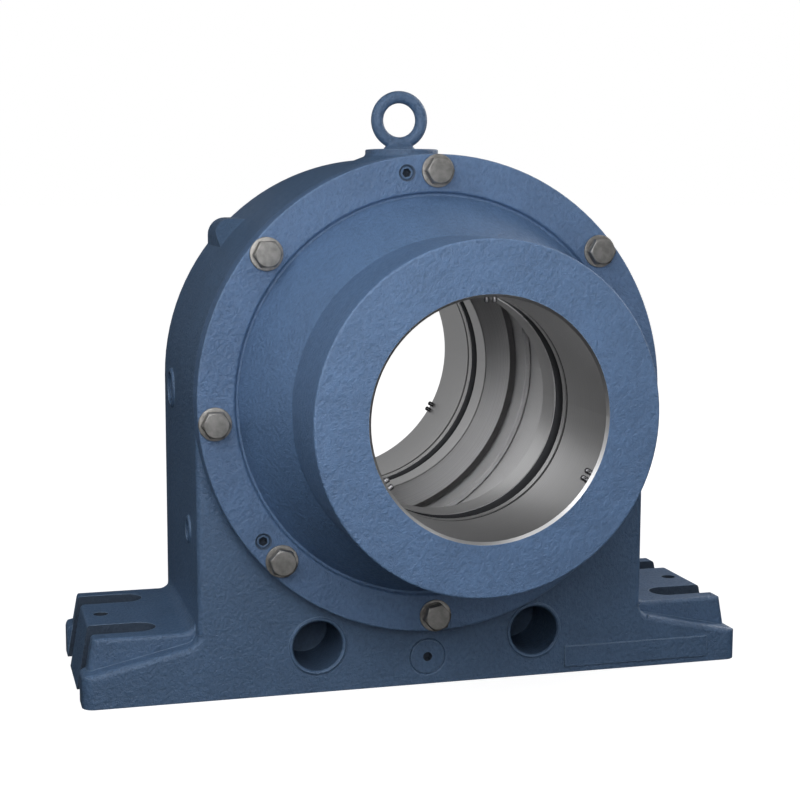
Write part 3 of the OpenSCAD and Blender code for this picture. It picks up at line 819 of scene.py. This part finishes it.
# The camera was solved from the outline of the base, flange and hub in the photograph: its place in
# metres, its turn in degrees, its lens and sensor in millimetres
CAMERA_AT = (-0.57745, -2.08338, 0.62937)
CAMERA_AZIMUTH, CAMERA_ELEVATION, CAMERA_ROLL = -15.55, 7.52, 0.18
LENS, SENSOR = 74.28, 36
# How far the paper reaches from the middle, and how far the camera sees, in metres
FLOOR_REACH, SIGHT = 40, 200


def direction(azimuth, elevation):
    """Unit vector from the housing towards a place round it, in degrees from the front and above."""
    a, e = math.radians(azimuth), math.radians(elevation)
    return Vector((math.sin(a) * math.cos(e), -math.cos(a) * math.cos(e), math.sin(e)))


def camera_place():
    """The camera's place and turn."""
    back = direction(CAMERA_AZIMUTH, CAMERA_ELEVATION)
    azimuth, roll = math.radians(CAMERA_AZIMUTH), math.radians(CAMERA_ROLL)
    right = Vector((math.cos(azimuth), math.sin(azimuth), 0))
    up = back.cross(right)
    right, up = math.cos(roll) * right + math.sin(roll) * up, math.cos(roll) * up - math.sin(roll) * right
    turn = Matrix((right, up, back)).transposed().to_4x4()
    return Matrix.Translation(CAMERA_AT) @ turn


def studio_floor():
    """White paper that the camera sees and that sends no light back to the housing."""
    mesh = bmesh.new()
    bmesh.ops.create_grid(mesh, x_segments=8, y_segments=8, size=FLOOR_REACH)
    data = bpy.data.meshes.new("studio_floor")
    mesh.to_mesh(data)
    mesh.free()
    floor = new_object("studio_floor", data)
    floor.visible_diffuse = False
    floor.visible_glossy = False
    floor.visible_shadow = False
    floor.data.materials.append(finish("Matt paper sweep", paper_sweep))
    return floor


def studio_world():
    """White to the camera, and to the housing a faint glow, stronger from above and the right."""
    world = bpy.data.worlds.new("Studio")
    world.use_nodes = True
    tree = world.node_tree
    tree.nodes.clear()
    way = add(tree, "ShaderNodeTexCoord").outputs["Generated"]
    x, _, z = add(tree, "ShaderNodeSeparateXYZ", (way,)).outputs
    above = add(tree, MAP_RANGE, (z, -0.05, 0.35))
    right = add(tree, MAP_RANGE, (x, -0.9, 0.8, 0.25, 1.0))
    sky = add(tree, MATH, (above, right), operation="MULTIPLY")
    glow = add(tree, MATH, (sky, 0.04, 0.02), operation="MULTIPLY_ADD")
    seen = add(tree, "ShaderNodeLightPath").outputs["Is Camera Ray"]
    strength = add(tree, MATH, (glow, seen), operation="MAXIMUM")
    light = add(tree, "ShaderNodeBackground", {"Color": (1, 1, 1, 1), "Strength": strength})
    add(tree, "ShaderNodeOutputWorld", (light,))
    return world


def hang(box):
    """Hangs one softbox, which the camera doesn't see."""
    name = f"softbox_{box.azimuth}_{box.elevation}"
    disc = box.width < DISC_WIDTH
    lamp = bpy.data.lights.new(name, "AREA")
    lamp.shape = "DISK" if disc else "SQUARE"
    lamp.spread = math.radians(HOOD_SPREAD if disc else OPEN_SPREAD)
    lamp.size = box.width
    lamp.energy = box.power
    item = new_object(name, lamp)
    back = direction(box.azimuth, box.elevation)
    item.location = Vector(box.aim) + box.distance * back
    item.rotation_euler = (-back).to_track_quat("-Z", "Y").to_euler()
    item.visible_camera = False


# Operators


class HOUSING_OT_castings(bpy.types.Operator):
    """Coats the cast body and both covers with enamel and leaves their bores bare"""

    bl_idname = "housing.castings"
    bl_label = "Enamel the Castings"

    def execute(self, context):
        title = "Satin enamel on sand-cast iron, seat turned bare"
        paint = colours().body_enamel
        material = finish(title, enamel_on_casting, paint, bare=seat_bare, recesses=body_recesses)
        coat("housing_body", material)
        # The covers' enamel is painted lighter, for the stronger light at the front
        paint = colours().cover_enamel_painted_lighter
        for side, name in SIDES:
            title = f"Satin enamel on cast iron, {name} bore turned bare"
            masks = cover_bare(side), cover_grooves(side), jacking_recesses(side)
            coat(name + "_cover", finish(title, enamel_on_casting, paint, side, *masks))
        return {"FINISHED"}


class HOUSING_OT_rings(bpy.types.Operator):
    """Gives the rings under the flanges and in the bores their moulded rubber"""

    bl_idname = "housing.rings"
    bl_label = "Rubber Rings"

    def execute(self, context):
        rubber = finish("Moulded nitrile rubber", moulded_rubber)
        for _, name in SIDES:
            coat(name + "_flange_ring", rubber)
            coat(name + "_bore_ring", rubber)
        return {"FINISHED"}


class HOUSING_OT_cover_bolts(bpy.types.Operator):
    """Bolts both covers down with forged hexagon bolts on washers"""

    bl_idname = "housing.cover_bolts"
    bl_label = "Cover Bolts and Washers"

    def execute(self, context):
        size, tones = sizes(), colours()
        forged = finish(
            "Forged bolt steel, oiled",
            worked_steel,
            tones.bolt_steel,
            roughness=0.5,
            grain=1.2 * MM,
            metallic=0.9,
            rubbed=tones.rubbed_steel,
        )
        stamped = finish(
            "Stamped washer steel",
            worked_steel,
            tones.washer_steel,
            roughness=0.45,
            grain=1.0 * MM,
            metallic=0.85,
            rubbed=tones.rubbed_steel,
        )
        head, disc = bolt_head(), washer()
        for side, name in SIDES:
            circle, seat = bolt_circle(side), FLANGE_FACE[side]
            top = seat + size.washer_thickness
            spots = BOLT_ANGLES, BOLT_TURNS
            group = fasteners(name + "_hex_bolts", head, side, circle, top, *spots, forged)
            keep(group, "bolt_steel", name + "_cover_bolts")
            group = fasteners(name + "_flat_washers", disc, side, circle, seat, *spots, stamped)
            keep(group, "washer_steel", name + "_cover_washers")
        bpy.data.objects.remove(head)
        bpy.data.objects.remove(disc)
        return {"FINISHED"}


class HOUSING_OT_jacking_screws(bpy.types.Operator):
    """Sets the socket screws that push a cover off into their flanges"""

    bl_idname = "housing.jacking_screws"
    bl_label = "Jacking Screws"

    def execute(self, context):
        size = sizes()
        paint = screw_enamel()
        screw = socket_screw(
            "jacking_screw", size.jack_thread, size.jack_length, size.jack_socket, size.jack_socket
        )
        for side, name in SIDES:
            circle, seat = bolt_circle(side), FLANGE_FACE[side] - size.jack_sunk
            group = fasteners(
                name + "_socket_screws", screw, side, circle, seat, JACK_ANGLES, JACK_TURNS, paint
            )
            keep(group, "painted_screws", name + "_jacking_screws")
        bpy.data.objects.remove(screw)
        return {"FINISHED"}


class HOUSING_OT_mouth_screws(bpy.types.Operator):
    """Sets the pairs of small screws into the mouths of the bores"""

    bl_idname = "housing.mouth_screws"
    bl_label = "Mouth Screws"

    def execute(self, context):
        size = sizes()
        tone = colours().screw_steel
        steel = finish("Blackened set screw steel, worn", worked_steel, tone, roughness=0.3, grain=0.6 * MM)
        screw = socket_screw(
            "mouth_screw",
            size.mouth_screw,
            size.mouth_screw_length,
            size.mouth_screw_socket,
            size.mouth_screw_depth,
        )
        for side, name in SIDES:
            radius = BORE_R[side]
            apart = math.degrees(math.asin(size.mouth_screw_gap / 2 / radius))
            angles = [angle + step * apart for angle in MOUTH_ANGLES for step in (-1, 1)]
            circle = 2 * (radius - size.mouth_screw_stand)
            seat = HUB_END[side] - size.mouth_screw_inset
            group = fasteners(
                name + "_set_screws", screw, side, circle, seat, angles, MOUTH_TURNS, steel, inward=True
            )
            keep(group, "set_screw_steel", name + "_mouth_screws")
        bpy.data.objects.remove(screw)
        return {"FINISHED"}


class HOUSING_OT_plugs(bpy.types.Operator):
    """Paints over the plugs in the body"""

    bl_idname = "housing.plugs"
    bl_label = "Plugs"

    def execute(self, context):
        paint = screw_enamel()
        for _, name in SIDES:
            coat(name + "_base_plug", paint)
        for name in ("left", "right"):
            coat(name + "_upper_plug", paint)
            coat(name + "_lower_plug", paint)
        return {"FINISHED"}


class HOUSING_OT_eye(bpy.types.Operator):
    """Forges the lifting eye with its ring blended into the collar"""

    bl_idname = "housing.eye"
    bl_label = "Lifting Eye"

    def execute(self, context):
        eye = lifting_eye()
        paint = finish("Satin enamel on forged steel", enamel_on_casting, colours().body_enamel)
        eye.data.materials.clear()
        eye.data.materials.append(paint)
        keep(eye, "eye_paint", "eyebolt")
        return {"FINISHED"}


class HOUSING_OT_stage(bpy.types.Operator):
    """Lays the pale floor, hangs the soft lights and sets the camera where the photograph was taken"""

    bl_idname = "housing.stage"
    bl_label = "Studio"

    def execute(self, context):
        scene = context.scene
        floor = studio_floor()
        scene.world = studio_world()
        for box in LIGHTS:
            hang(box)
        camera = new_object("camera", bpy.data.cameras.new("camera"))
        camera.data.lens = LENS
        camera.data.sensor_width = SENSOR
        camera.data.clip_end = SIGHT
        camera.matrix_world = camera_place()
        scene.camera = camera
        scene.view_settings.view_transform = "Standard"
        return {"FINISHED"}


class HOUSING_PT_tools(bpy.types.Panel):
    """Buttons and sizes of the bearing housing"""

    bl_idname = "HOUSING_PT_tools"
    bl_label = "Bearing Housing"
    bl_space_type = "VIEW_3D"
    bl_region_type = "UI"
    bl_category = "Housing"

    def draw(self, context):
        for operator in OPERATORS:
            self.layout.operator(operator.bl_idname)
        for group in (context.scene.housing_sizes, context.scene.housing_colours):
            box = self.layout.box()
            for name in group.__annotations__:
                box.prop(group, name)


OPERATORS = (
    HOUSING_OT_castings,
    HOUSING_OT_rings,
    HOUSING_OT_cover_bolts,
    HOUSING_OT_jacking_screws,
    HOUSING_OT_mouth_screws,
    HOUSING_OT_plugs,
    HOUSING_OT_eye,
    HOUSING_OT_stage,
)
CLASSES = (HousingSizes, HousingColours) + OPERATORS + (HOUSING_PT_tools,)


def register():
    for item in CLASSES:
        bpy.utils.register_class(item)
    bpy.types.Scene.housing_sizes = PointerProperty(type=HousingSizes)
    bpy.types.Scene.housing_colours = PointerProperty(type=HousingColours)


def unregister():
    del bpy.types.Scene.housing_colours
    del bpy.types.Scene.housing_sizes
    for item in reversed(CLASSES):
        bpy.utils.unregister_class(item)


def main():
    register()
    for operator in OPERATORS:
        group, name = operator.bl_idname.split(".")
        getattr(getattr(bpy.ops, group), name)()


if __name__ == "__main__":
    main()
